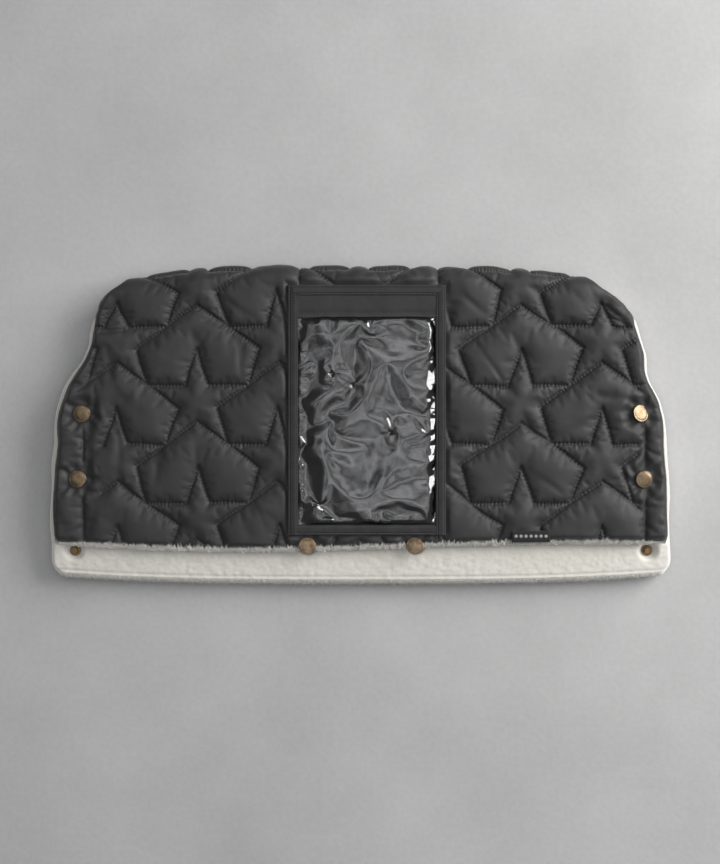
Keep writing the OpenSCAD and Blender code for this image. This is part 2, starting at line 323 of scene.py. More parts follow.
def star_edges():
    """The ten edges of a star about its centre, as rows of (x0, y0, x1, y1)."""
    turn = np.radians(90 + 36 * np.arange(10))
    radius = STAR_R * np.where(np.arange(10) % 2 == 0, 1, STAR_INNER)
    corner = np.stack([radius * np.cos(turn), radius * np.sin(turn)], axis=1)
    return np.hstack([corner, np.roll(corner, -1, axis=0)])


def warped(x, s):
    """Cloth coordinates bent a little, because nobody sews a perfect star."""
    return (x + 2.0 * MM * noise(x, s, 37 * MM, 11), s + 2.0 * MM * noise(x, s, 41 * MM, 12))


def star_seams(x, s):
    """Distance to the nearest star's edge, the place along it, and 1 where it runs straight across."""
    nearest = np.full(x.shape, 1.0)
    along = np.zeros(x.shape)
    level_edge = np.zeros(x.shape)
    column = np.round((x - STAR_X) / COLUMN)
    for c in (column - 1, column, column + 1):
        middle_x = STAR_X + c * COLUMN
        first_s = STAR_S + ROW * (c % 2)
        row = np.floor((s - first_s) / (2 * ROW))
        for r in (row, row + 1):
            px, py = x - middle_x, s - first_s - 2 * ROW * r
            for x0, y0, x1, y1 in star_edges():
                dx, dy = x1 - x0, y1 - y0
                length = math.hypot(dx, dy)
                t = np.clip(((px - x0) * dx + (py - y0) * dy) / length ** 2, 0, 1)
                gap = np.hypot(px - x0 - t * dx, py - y0 - t * dy)
                closer = gap < nearest
                nearest = np.where(closer, gap, nearest)
                along = np.where(closer, t * length, along)
                level_edge = np.where(closer, float(abs(dy) < 0.1 * length), level_edge)
    return nearest, along, level_edge


def membrane():
    """A thin sheet blown up over one repeat of the stars and held at their edges, from 0 to 1."""
    columns, rows = 186, 136
    x = STAR_X + np.arange(columns) * 2 * COLUMN / columns
    s = STAR_S + np.arange(rows) * 2 * ROW / rows
    free = star_seams(*np.meshgrid(x, s))[0] > 0.5 * MM
    height = np.zeros(free.shape)
    for _ in range(1500):
        around = sum(np.roll(height, turn, axis) for turn in (1, -1) for axis in (0, 1))
        height = free * (around / 4 + 1)
    return height / height.max()


MEMBRANE = membrane()


def snap_place(name):
    """Middle of a snap on the cloth."""
    low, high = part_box("snap_stud_" + name)
    return (low.x + high.x) / 2, (low.y + high.y) / 2


def snap_gap(x, s, name):
    """Distance from a snap's middle, on either panel."""
    px, py = snap_place(name)
    return np.hypot(x - px, level(s) - py)


def sewn_lines(x, s):
    """Distance to the nearest sewn line that isn't a star's: the pocket's two, and those by the snaps."""
    on_front = np.clip((s - CREST) / (6 * MM), 0, 50) * MM
    channel = np.minimum(abs(x - CHANNELS[0]), abs(x - CHANNELS[1])) + on_front
    above = np.maximum(s - snap_place("upper_left")[1], 0)
    return channel, np.hypot(np.abs(x) - np.where(x < 0, *SNAP_LINE), above)


def puffs(x, s):
    """Height of the quilted cloth over its seams, and its distance to the nearest star's edge."""
    wx, ws = warped(x, s)
    seam, along, across = star_seams(wx, ws)
    blown = sampled(MEMBRANE, (ws - STAR_S) / (2 * ROW) * MEMBRANE.shape[0],
                    (wx - STAR_X) / (2 * COLUMN) * MEMBRANE.shape[1])
    height = PUFF * np.maximum(blown, 0) ** 0.47 * (1 - np.exp(-seam / (1.5 * MM)))
    channel, snap_line = sewn_lines(x, s)
    height *= 1 - np.exp(-(channel / (5 * MM)) ** 1.3)
    border = smooth((np.abs(x) - np.where(x < 0, *BORDER)) / (7 * MM))
    border = border * smooth((snap_place("upper_left")[1] + 34 * MM - s) / (26 * MM))
    height = height * (1 - border) + 3.4 * MM * border
    height *= 1 - 0.8 * np.exp(-(snap_line / (4 * MM)) ** 1.3)
    return height, seam + 20 * MM * border, along, across, channel, snap_line


BLOWN_CELL = 1.7 * MM
BLOWN_X = np.arange(-BACK_HIGH.x - 8 * MM, BACK_HIGH.x + 8 * MM, BLOWN_CELL)
BLOWN_S = np.arange(FRONT_LOW.y - 4 * MM, CREST + 26 * MM, BLOWN_CELL)


def blown_front():
    """The front's outer cloth, simulated flat: how far each grid point moved across, along and out."""
    x, s = np.meshgrid(BLOWN_X, BLOWN_S)
    height, seam, _, _, channel, snap_line = puffs(x, s)
    held = (seam < 0.7 * BLOWN_CELL) | (channel < 0.7 * BLOWN_CELL) | (snap_line < 0.7 * BLOWN_CELL)
    held |= edge_distance(x, s) < 1 * MM
    for name in SNAPS:
        held |= snap_gap(x, s, name) < 8 * MM
    start = np.where(held, 0, 0.7 * height + 0.15 * MM * noise(x, s, 6 * MM, 91))
    points = np.stack([x, s, start], axis=-1)
    moved = simulated(points, held, frames=20, pressure=4, growth=0.017, stiffness=15, bending=8)
    return moved - np.stack([x, s, 0 * x], axis=-1)


BLOWN = blown_front()


def blown(x, s, height):
    """Shift across, shift along and height of the outer cloth: simulated on the front and over the fold."""
    if BLOWN is None:
        return 0, 0, height
    row, column = (s - BLOWN_S[0]) / BLOWN_CELL, (x - BLOWN_X[0]) / BLOWN_CELL
    row = np.clip(row, 1, len(BLOWN_S) - 3)
    moved = sampled(BLOWN, row, np.clip(column, 1, len(BLOWN_X) - 3))
    share = 1 - smooth((s - CREST + 14 * MM) / (26 * MM))
    tall = PUFF * 1.15
    raised = tall * np.tanh(moved[..., 2] / tall)
    return (share * moved[..., 0], share * moved[..., 1], height * (1 - share) + raised * share)


def gathers(x, s, seam, along, across, channel, snap_line):
    """Fine puckers square to the seams, and the seams' own grooves."""
    wobble = 2.6 * noise(x, s, 8 * MM, 21)
    uneven = np.clip(0.55 + 0.75 * noise(x, s, 13 * MM, 22), 0, 1.2)
    rib = np.sin(2 * np.pi * along / (3.1 * MM) + wobble)
    reach = np.exp(-(seam / (2.6 * MM)) ** 1.5)
    fine = rib * reach * uneven * (0.36 + 0.3 * across) * MM
    by_channel = np.exp(-channel / (3.2 * MM)) * (1 - np.exp(-(channel / (0.8 * MM)) ** 2))
    fine += np.sin(2 * np.pi * s / (3.6 * MM) + wobble) * by_channel * uneven * 0.5 * MM
    groove = (0.9 - 0.35 * rib) * np.exp(-(seam / (1.0 * MM)) ** 2)
    groove += 1.0 * np.exp(-(channel / (1.1 * MM)) ** 2) + 0.8 * np.exp(-(snap_line / (2.2 * MM)) ** 2)
    return fine - groove * MM


# Loose folds of the front, drawn: start, end, half width and depth in millimetres
CREASES = [((-226, 79), (-206, 81), 2.2, 1.6), ((-219, 64), (-216, 40), 4, 1.5),
           ((-236, 4), (-236, -38), 5, 1.8), ((232, 84), (214, 96), 2.5, 1.5),
           ((212, 112), (226, 92), 3, 1.3), ((-118, 100), (-112, 62), 6, 0.8),
           ((-205, -62), (-150, -92), 7, 1.0), ((150, -20), (205, 4), 5, 0.9),
           ((205, 24), (238, 18), 4, 1.0)]


def folds(x, s):
    """The drawn folds, and the slow rise and fall of a soft panel."""
    total = 1.3 * MM * noise(x, s, 95 * MM, 31) + 0.8 * MM * noise(x, s, 34 * MM, 32)
    total += 0.25 * MM * noise(x, s, 12 * MM, 33)
    line = noise((x + 0.35 * s) / 0.75, s, 46 * MM, 35)
    total -= 1.3 * MM * np.exp(-(line / 0.2) ** 2) * smooth(0.4 + 1.4 * noise(x, s, 65 * MM, 36))
    for (x0, s0), (x1, s1), width, depth in CREASES:
        dx, ds = (x1 - x0) * MM, (s1 - s0) * MM
        t = ((x - x0 * MM) * dx + (s - s0 * MM) * ds) / (dx * dx + ds * ds)
        held = np.clip(t, 0, 1)
        gap = np.hypot(x - x0 * MM - held * dx, s - s0 * MM - held * ds)
        total -= depth * MM * np.exp(-(gap / (width * MM)) ** 2)
    return total


def pressed(x, s, height, names, seat):
    """Height of the cloth where snaps pull it down to their seat, with creases fanning out of them."""
    for number, name in enumerate(names):
        px, py = snap_place(name)
        gap, turn = snap_gap(x, s, name), np.arctan2(level(s) - py, x - px)
        pull = 1 - smooth((gap - 7.6 * MM) / (11 * MM))
        fan = np.sin(7 * turn + 2.2 * number + 2 * noise(x, s, 14 * MM, 40 + number))
        ridge = fan * smooth((gap - 7 * MM) / (5 * MM)) * (1 - smooth((gap - 13 * MM) / (12 * MM)))
        height = height * (1 - pull) + seat * pull + 0.9 * MM * ridge
    return height


def relief(x, s):
    """Shift across, shift along and height of the outer cloth over its seam-level surface."""
    height, *seams = puffs(x, s)
    shift_x, shift_s, height = blown(x, s, height)
    back = smooth((s - CREST) / (16 * MM))
    inside = smooth((edge_distance(x, s) - 0.5 * MM) / (5 * MM))
    under_pocket = pocket_share(x, s)
    height = height * (1 - 0.72 * under_pocket) * (0.25 + 0.75 * inside)
    height = height + gathers(x, s, *seams) * inside * (1 - under_pocket)
    height = height + folds(x, s) * inside * (1 - back) * (1 - 0.6 * under_pocket)
    height = np.where(back > 0, height * (1 - back) + back * 3.2 * MM * np.tanh(height / (3.4 * MM)), height)
    flatter = 0.3 + 0.35 * smooth((np.abs(x) - 140 * MM) / (50 * MM))
    height = height * (1 - flatter * np.exp(-((s - CREST - 8 * MM) / (16 * MM)) ** 2))
    height = np.where(height < -1 * MM, (np.tanh(height / MM + 1) - 1) * MM, height)
    front = pressed(x, s, height, SNAPS, -0.5 * MM)
    behind = pressed(x, s, height, SNAPS + CORNERS, 0.9 * MM)
    free = inside * (1 - under_pocket)
    return shift_x * free, shift_s * free, np.where(s < CREST, front, behind)


def pocket_share(x, s):
    """1 under the pocket, easing to 0 just outside it."""
    across = np.minimum(x - FILM_LOW.x, FILM_HIGH.x - x)
    up = np.minimum(s - FILM_LOW.y, BAND_HIGH.y - s)
    return smooth(np.minimum(across, up) / (6 * MM) + 1)


def skin(x, s, lift=0):
    """Points on the outer cloth, or lift above it."""
    shift_x, shift_s, height = relief(x, s)
    y, z, normal_y, normal_z = path(s + shift_s)
    out = height + lift - wrap_depth(s) * rounding(edge_distance(x, s))
    return np.stack([x + shift_x, y - crest_drop(x, s) + out * normal_y, z + out * normal_z], axis=-1)


# ---- grids over the panels


def cloth_grid(back, left, right, rows, columns):
    """Cloth coordinates from left to right and from the hem, which the rows' first level follows, up."""
    hem = back_hem if back else front_hem
    corner = CORNER_BACK if back else CORNER_FRONT
    edge_x = BACK_HIGH.x if back else FRONT_HIGH.x
    low = hem(edge_x)
    height = low + (CREST - low) * rows[:, None]
    rise = np.clip(corner - (height - low), 0, corner)
    cut = corner - np.sqrt(corner ** 2 - rise ** 2)
    start = half_width(height, back, -1) * -1 + cut if left is None else left + 0 * height
    end = half_width(height, back, 1) - cut if right is None else right + 0 * height
    x = start + (end - start) * columns[None, :]
    height = height + (hem(x) - low) * (1 - smooth((height - low) / (70 * MM)))
    return x, (2 * CREST - height if back else height)


# ---- materials


def add(tree, kind, settings=None, **inputs):
    """Adds a node. inputs are its sockets' names with spaces as _, and hold values or other sockets."""
    node = tree.nodes.new("ShaderNode" + kind)
    for key, value in (settings or {}).items():
        setattr(node, key, value)
    for key, value in inputs.items():
        socket = node.inputs[int(key[2:])] if key.startswith("in") else node.inputs[key.replace("_", " ")]
        if isinstance(value, bpy.types.NodeSocket):
            tree.links.new(value, socket)
        else:
            socket.default_value = value
    return node


def new_material(name, **shader):
    """A new material's nodes, and the function that links its looks and returns it.

    shader's keys are the names of the Principled shader's sockets, with spaces as _.
    """
    material = bpy.data.materials.new(name)
    material.use_nodes = True
    tree = material.node_tree
    principled = tree.nodes["Principled BSDF"]
    for key, value in shader.items():
        principled.inputs[key.replace("_", " ")].default_value = value

    def finished(colour, normal, rough=None):
        for socket, value in (("Base Color", colour), ("Roughness", rough), ("Normal", normal)):
            if value is not None:
                tree.links.new(value, principled.inputs[socket])
        return material

    return tree, finished


def mix(tree, factor, a, b):
    """Mixed colour of a and b."""
    node = add(tree, "Mix", {"data_type": "RGBA"})
    for socket, value in zip((node.inputs[0], node.inputs[6], node.inputs[7]), (factor, a, b)):
        if isinstance(value, bpy.types.NodeSocket):
            tree.links.new(value, socket)
        else:
            socket.default_value = value
    return node.outputs[2]


def maths(tree, operation, a, b=0.0):
    """Result of a Math node."""
    return add(tree, "Math", {"operation": operation}, in0=a, in1=b).outputs[0]


def ranged(tree, value, low, high, new_low, new_high):
    """Value moved from one range to another."""
    return add(tree, "MapRange", None, Value=value, From_Min=low, From_Max=high, To_Min=new_low,
               To_Max=new_high).outputs[0]


def stretched(tree, vector, scale):
    """Vector scaled by x, y and z."""
    return add(tree, "Mapping", None, Vector=vector, Scale=scale).outputs[0]


def lumps(tree, vector, size, detail=2.0, roughness=0.5):
    """Noise whose lumps are about size across."""
    return add(tree, "TexNoise", None, Vector=vector, Scale=1 / size, Detail=detail,
               Roughness=roughness).outputs["Fac"]


def threads(tree, vector, pitch, direction, distortion=0.0):
    """Waves of one thread system, pitch apart, along X, Y or DIAGONAL."""
    return add(tree, "TexWave", {"bands_direction": direction}, Vector=vector, Scale=math.pi / 10 / pitch,
               Distortion=distortion, Detail=1.0).outputs["Fac"]


def bump(tree, height, distance, strength=1.0, under=None):
    """Normal from a height; under is a bump to lie on."""
    node = add(tree, "Bump", None, Height=height, Distance=distance, Strength=strength)
    if under is not None:
        tree.links.new(under, node.inputs["Normal"])
    return node.outputs[0]


def satin_cloth(name, dark, light):
    """Satin-weave polyester: fine floats with painted shade between them, a soft sheen, uneven dye and
    rubbed, duller patches.
    """
    tree, finished = new_material(name, Sheen_Weight=0.22, Sheen_Roughness=0.4, Specular_IOR_Level=0.42)
    thread = 0.42 * MM
    place = add(tree, "TexCoord").outputs["Object"]
    cloth = add(tree, "UVMap", {"uv_map": "Cloth"}).outputs[0]
    dye = lumps(tree, place, 45 * MM, 3)
    fibre = lumps(tree, stretched(tree, cloth, (1, 0.12, 1)), 1.1 * MM, 2)
    warp = threads(tree, cloth, thread, "X", 0.6)
    weft = threads(tree, cloth, thread * 2.2, "DIAGONAL", 0.4)
    weave = maths(tree, "ADD", maths(tree, "MULTIPLY", warp, 0.6), maths(tree, "MULTIPLY", weft, 0.5))
    tone = maths(tree, "ADD", maths(tree, "MULTIPLY", dye, 0.6), maths(tree, "MULTIPLY", fibre, 0.4))
    colour = mix(tree, ranged(tree, tone, 0.3, 0.7, 0, 1), dark, light)
    # painted shade: the cloth is darkened where the weave's bump is low, between the threads
    colour = mix(tree, ranged(tree, weave, 0, 1.1, 0.16, 0), colour, (0.012, 0.012, 0.013, 1))
    rough = ranged(tree, lumps(tree, place, 16 * MM, 3, 0.6), 0.3, 0.7, 0.50, 0.62)
    soft = bump(tree, lumps(tree, place, 5 * MM, 3, 0.6), 0.5 * MM, 0.35)
    return finished(colour, bump(tree, weave, 0.05 * MM, 0.7, soft), rough)


def boa_fleece():
    """Cream boa fleece: curled, clumped fibres, faint painted shade between the curls, and steep sides
    painted paler for the light the pile lets through.
    """
    tree, finished = new_material("boa_fleece", Roughness=0.95, Sheen_Weight=0.9, Sheen_Roughness=0.5,
                                  Specular_IOR_Level=0.1)
    place = add(tree, "TexCoord").outputs["Object"]
    curl = lumps(tree, place, 1.3 * MM, 5, 0.65)
    clump = lumps(tree, place, 5.5 * MM, 3)
    broad = lumps(tree, place, 60 * MM, 2)
    colour = mix(tree, ranged(tree, clump, 0.3, 0.7, 0, 1), (0.655, 0.635, 0.58, 1), (0.71, 0.69, 0.635, 1))
    # painted shade: the fleece is darkened where the curls' bump is low, between them
    colour = mix(tree, ranged(tree, curl, 0.35, 0.6, 0.15, 0), colour, (0.54, 0.51, 0.44, 1))
    colour = mix(tree, ranged(tree, broad, 0.4, 0.65, 0, 0.3), colour, (0.64, 0.60, 0.53, 1))
    # painted light: faces that stand steep are painted paler than flat ones, for the light that the pile lets
    # through
    upright = add(tree, "SeparateXYZ", None, Vector=add(tree, "TexCoord").outputs["Normal"]).outputs["Z"]
    steep = ranged(tree, maths(tree, "ABSOLUTE", upright), 0.15, 0.9, 0.85, 0)
    colour = mix(tree, steep, colour, (0.95, 0.93, 0.88, 1))
    curled = bump(tree, curl, 0.5 * MM, 0.55)
    return finished(colour, bump(tree, clump, 0.8 * MM, 0.3, curled))


def grosgrain():
    """Black ribbed binding tape: ribs across it, painted lighter on their crests and darker in their grooves
    as light and shade, and paler worn patches.
    """
    tree, finished = new_material("binding_tape", Sheen_Weight=0.25, Roughness=0.6, Specular_IOR_Level=0.35)
    cloth = add(tree, "UVMap", {"uv_map": "Cloth"}).outputs[0]
    rib = threads(tree, cloth, 0.9 * MM, "Y", 0.15)
    fibre = lumps(tree, stretched(tree, cloth, (0.2, 1, 1)), 0.5 * MM, 2)
    worn = lumps(tree, cloth, 14 * MM, 3)
    # painted light and shade: each rib is painted lighter on its crest and darker in its groove
    colour = mix(tree, ranged(tree, rib, 0, 1, 0, 0.7), (0.009, 0.009, 0.0095, 1), (0.034, 0.0335, 0.0345, 1))
    colour = mix(tree, ranged(tree, worn, 0.45, 0.75, 0, 0.4), colour, (0.05, 0.049, 0.05, 1))
    ribs = bump(tree, rib, 0.22 * MM, 0.9)
    return finished(colour, bump(tree, fibre, 0.05 * MM, 0.5, ribs))


def clear_film():
    """Clear vinyl: see-through with sharp reflections, a few fine scratches, a faint haze and painted shade
    at its steep folds.
    """
    material = bpy.data.materials.new("clear_film")
    material.use_nodes = True
    tree = material.node_tree
    tree.nodes.remove(tree.nodes["Principled BSDF"])
    place = add(tree, "TexCoord").outputs["Object"]
    scratch = lumps(tree, stretched(tree, place, (1, 9, 1)), 9 * MM, 4, 0.7)
    haze = lumps(tree, place, 22 * MM, 3)
    waves = bump(tree, lumps(tree, place, 6 * MM, 2), 0.12 * MM, 0.5)
    sharp = ranged(tree, scratch, 0.35, 0.75, 0.045, 0.13)
    gloss = add(tree, "BsdfGlossy", None, Roughness=sharp, Normal=waves)
    tint = mix(tree, ranged(tree, haze, 0.35, 0.7, 0, 1), (0.93, 0.93, 0.94, 1), (0.86, 0.87, 0.87, 1))
    # painted shade: the see-through colour darkens where the film turns away from the view, for the dark
    # lines refraction draws along its folds
    steep = add(tree, "LayerWeight", None, Blend=0.5).outputs["Facing"]
    tint = mix(tree, ranged(tree, steep, 0.18, 0.6, 0, 0.75), tint, (0.12, 0.12, 0.12, 1))
    clear = add(tree, "BsdfTransparent", None, Color=tint)
    edge = add(tree, "Fresnel", None, IOR=2.15, Normal=waves).outputs[0]
    film = add(tree, "MixShader", None, in0=edge, in1=clear.outputs[0], in2=gloss.outputs[0])
    tree.links.new(film.outputs[0], tree.nodes["Material Output"].inputs["Surface"])
    return material


def antique_brass(name, dark, light, rough):
    """Plated brass with a fine grain, darker where the plating is thick."""
    tree, finished = new_material(name, Metallic=1.0)
    place = add(tree, "TexCoord").outputs["Object"]
    patch = lumps(tree, place, 5 * MM, 4, 0.6)
    grain = lumps(tree, place, 0.45 * MM, 3, 0.7)
    colour = mix(tree, ranged(tree, patch, 0.35, 0.68, 0, 1), dark, light)
    recess = tuple(0.45 * c for c in dark[:3]) + (1,)
    colour = mix(tree, ranged(tree, grain, 0.35, 0.7, 0.35, 0), colour, recess)
    worn = ranged(tree, grain, 0.3, 0.7, rough - 0.08, rough + 0.12)
    return finished(colour, bump(tree, grain, 0.05 * MM, 0.5), worn)


def thread_material(name, tone):
    """Twisted sewing thread, with painted shade in the grooves of its twist."""
    tree, finished = new_material(name, Roughness=0.55, Sheen_Weight=0.3)
    place = add(tree, "TexCoord").outputs["Object"]
    ply = threads(tree, place, 0.35 * MM, "DIAGONAL", 0.3)
    # painted shade: darker in the twist's grooves, where the ply's bump is low
    colour = mix(tree, ply, tuple(0.5 * c for c in tone) + (1,), tone + (1,))
    return finished(colour, bump(tree, ply, 0.08 * MM, 0.8))


def woven(name, dark, light, pitch):
    """Plain weave of a tape or label, with painted shade between its threads."""
    tree, finished = new_material(name, Roughness=0.7, Sheen_Weight=0.25, Specular_IOR_Level=0.3)
    place = add(tree, "TexCoord").outputs["Object"]
    warp, weft = (threads(tree, place, pitch, way, 0.3) for way in "XY")
    cross = maths(tree, "MULTIPLY", warp, weft)
    tone = mix(tree, lumps(tree, place, 3 * MM, 3), dark, light)
    # painted shade: darker where the weave's bump is low, between the crossings
    colour = mix(tree, ranged(tree, cross, 0, 1, 0.4, 0), tone, dark)
    return finished(colour, bump(tree, cross, 0.1 * MM, 0.8))


def floor_material():
    """Pale, matt floor with faint clouding."""
    tree, finished = new_material("floor", Roughness=0.85, Specular_IOR_Level=0.2)
    place = add(tree, "TexCoord").outputs["Object"]
    cloud = lumps(tree, place, 180 * MM, 5, 0.6)
    speck = lumps(tree, place, 5 * MM, 4, 0.6)
    tone = maths(tree, "ADD", maths(tree, "MULTIPLY", cloud, 0.7), maths(tree, "MULTIPLY", speck, 0.3))
    colour = mix(tree, ranged(tree, tone, 0.35, 0.65, 0, 1), (0.44, 0.438, 0.436, 1), (0.53, 0.528, 0.526, 1))
    return finished(colour, bump(tree, speck, 0.6 * MM, 0.25))


QUILT = satin_cloth("quilted_cloth", (0.023, 0.0226, 0.0226, 1), (0.034, 0.0333, 0.0333, 1))
BAND = satin_cloth("band_cloth", (0.018, 0.0177, 0.0177, 1), (0.027, 0.0265, 0.0265, 1))
BOA = boa_fleece()
TAPE = grosgrain()
FILM = clear_film()
CAP = antique_brass("antique_brass_cap", (0.15, 0.107, 0.066, 1), (0.31, 0.23, 0.15, 1), 0.28)
STUD = antique_brass("antique_brass_stud", (0.13, 0.085, 0.045, 1), (0.28, 0.19, 0.10, 1), 0.38)
WIRE = antique_brass("spring_wire", (0.40, 0.40, 0.42, 1), (0.62, 0.62, 0.64, 1), 0.25)
THREAD = thread_material("thread", (0.085, 0.084, 0.086))
LABEL = woven("label_weave", (0.010, 0.010, 0.011, 1), (0.024, 0.023, 0.025, 1), 0.35 * MM)
MOTIF = woven("label_motif", (0.45, 0.45, 0.44, 1), (0.75, 0.75, 0.73, 1), 0.35 * MM)
INNER_TAPE = woven("woven_tape", (0.42, 0.40, 0.36, 1), (0.60, 0.58, 0.52, 1), 0.6 * MM)


# ---- the quilted panels


def quilt_piece(name, back, left, right, cell):
    """One stretch of the outer cloth, from a side edge or sewn line to the next."""
    low = BACK_LOW.y if back else front_hem(0)
    width = (BACK_HIGH.x if right is None else right) - (-BACK_HIGH.x if left is None else left)
    rows = steps(CREST - low, cell, True, False)
    rows = np.append(rows, 1 + OVERLAP / (CREST - low)) if back else rows
    columns = steps(width, cell, left is None, right is None)
    x, s = cloth_grid(back, left, right, rows, columns)
    points = skin(x, s, -0.08 * MM if back else 0)
    piece = grid_piece(name, points, np.stack([x, s], axis=-1), QUILT, turned=back)
    bent(piece, back)
    return piece


def quilted_panels():
    """The outer cloth: the front in three stretches between the pocket's sewn lines, and the back."""
    cell = 0.85 * MM
    left = quilt_piece("front_quilt_left", False, None, CHANNELS[0], cell)
    quilt_piece("front_quilt_centre", False, CHANNELS[0], CHANNELS[1], cell)
    quilt_piece("front_quilt_right", False, CHANNELS[1], None, cell)
    back = quilt_piece("back_quilt", True, None, None, 1.6 * MM)
    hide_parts("front_quilt_cover", "front_batting")
    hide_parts("back_quilt_cover", "back_batting", "fold_quilt_cover", "fold_batting")


# ---- the fleece lining


BULGE = 6.5 * MM            # of the bare fleece under the front's hem
FLANGE = 4.9 * MM           # radius round a snap's middle that holds the fleece down


def pile(x, s):
    """Height of the fleece's clumps over its even face."""
    clumps = 0.55 * noise(x, s, 7 * MM, 51) + 0.5 * noise(x, s, 3.2 * MM, 52)
    return 0.6 * (clumps + 0.3 * noise(x, s, 1.9 * MM, 53)) * MM


def lining(x, s, lift=0):
    """Points on the fleece's face, or lift above it."""
    y, z, normal_y, normal_z = path(s)
    distance = edge_distance(x, s)
    bend = smooth((level(s) - BEND_Y + 14 * MM) / (14 * MM))
    height = pile(x, s) * (1 - 0.75 * bend)
    topstitch = np.exp(-((level(s) - back_hem(x) - 7 * MM) / (1.0 * MM)) ** 2) * (s > CREST)
    height = height - 1.0 * MM * topstitch
    bare = smooth((front_hem(x) + 3.5 * MM - level(s)) / (7 * MM))
    bare = bare * smooth((distance - 0.5 * MM) / (5 * MM)) * (s > CREST)
    thick = BULGE * bare
    for name in SNAPS + CORNERS:
        clear = snap_gap(x, s, name) - FLANGE
        pull = 1 - smooth(clear / (3.5 * MM))
        height = height * (1 - pull) - 0.2 * MM * pull
        thick = thick * smooth(clear / (5 * MM))
    deep = LINING_DEPTH + height + lift + thick
    deep = deep - (LINING_DEPTH - wrap_depth(s)) * rounding(distance * np.where(s > CREST, 1.7, 1.0))
    hem = level(s) - front_hem(x)
    lip = 4 * MM * np.exp(-(hem / (3 * MM)) ** 2) * (1 - np.exp(-(hem / (0.7 * MM)) ** 2)) * (s < CREST)
    drop = np.maximum(crest_drop(x, s) - 7 * MM * smooth(distance / (8 * MM)), 0)
    return np.stack([x, y - drop - deep * normal_y - lip, z - deep * normal_z], axis=-1)


def lining_piece(name, back):
    """The fleece of one panel and of its half of the fold."""
    low = BACK_LOW.y if back else front_hem(0)
    rows = steps(CREST - low, 2.0 * MM, True, False)
    if back:
        fine = np.arange(ROLL, 46 * MM, 1.0 * MM) / (CREST - low)
        past_crest = 1 + OVERLAP / (CREST - low)
        rows = np.concatenate([rows[rows < fine[0]], fine, rows[rows > fine[-1] + 0.004], [past_crest]])
    columns = steps(2 * BACK_HIGH.x, 1.5 * MM, True, True)
    x, s = cloth_grid(back, None, None, rows, columns)
    piece = grid_piece(name, lining(x, s), np.stack([x, s], axis=-1), BOA, turned=not back)
    bent(piece, back)
    return piece


def tube_faces(rings, sides):
    """Quads round a tube, ring after ring."""
    faces = []
    for low in range(0, (rings - 1) * sides, sides):
        for n in range(sides):
            ahead = (n + 1) % sides
            faces.append((low + n, low + ahead, low + sides + ahead, low + sides + n))
    return faces


def many(name, shapes, material):
    """One mesh of many small shapes, each given by its vertices and faces."""
    vertices, faces = [], []
    for more, quads in shapes:
        first = len(vertices)
        vertices.extend(more)
        faces.extend([tuple(first + v for v in face) for face in quads])
    return mesh_piece(name, vertices, faces, material)


def strand(root, lean, length, radius, curl):
    """Rings of a thin tapered hair that bends from its root's lean towards curl."""
    sides, rings = 3, 4
    vertices, direction, place = [], np.array(lean, float), np.array(root, float)
    for k in range(rings):
        direction = direction / np.linalg.norm(direction)
        a = np.cross(direction, (0.3, 0.5, 0.81))
        a /= np.linalg.norm(a)
        b = np.cross(direction, a)
        thick = radius * (1 - k / rings) ** 0.7
        for n in range(sides):
            turn = 2 * math.pi * n / sides
            vertices.append(place + thick * (math.cos(turn) * a + math.sin(turn) * b))
        place = place + direction * length / rings
        direction = direction + np.array(curl) * 1.4 / rings
    vertices.append(place)
    last = (rings - 1) * sides
    tip = [(last + n, last + (n + 1) % sides, rings * sides) for n in range(sides)]
    return vertices, tube_faces(rings, sides) + tip


def strands_piece(name, hairs):
    """One mesh of many strands."""
    piece = many(name, [strand(*hair) for hair in hairs], BOA)
    return piece


def tufts():
    """Curled tufts along the back's lower edge."""
    rng = np.random.default_rng(61)
    count = 3000
    x = rng.uniform(-BACK_HIGH.x, BACK_HIGH.x, count)
    height = back_hem(x) + rng.uniform(0.3, 4, count) * MM
    s = 2 * CREST - height
    distance = edge_distance(x, s)
    keep = distance > 0.2 * MM
    for name in CORNERS:
        keep &= snap_gap(x, s, name) > 5.6 * MM
    x, s, height, distance = x[keep], s[keep], height[keep], distance[keep]
    roots = lining(x, s, -0.5 * MM)
    near = np.clip(1 - distance / (6 * MM), 0, 1)
    to_side = np.sign(x) * (half_width(height, True, np.sign(x)) - np.abs(x) < 7 * MM)
    down = (height - back_hem(x) < 7 * MM) * -1.0
    hairs = []
    for n, root in enumerate(roots):
        swirl = rng.uniform(0, 2 * math.pi)
        lean = (0.8 * math.cos(swirl) + 1.3 * near[n] * to_side[n],
                0.8 * math.sin(swirl) + 1.3 * near[n] * down[n], 1.0 - 0.5 * near[n])
        curl = (rng.uniform(-1, 1), rng.uniform(-1, 1), rng.uniform(-0.9, 0.1))
        hairs.append((root, lean, rng.uniform(1.8, 3.2) * MM, rng.uniform(0.25, 0.5) * MM, curl))
    return strands_piece("back_boa_tufts", hairs)


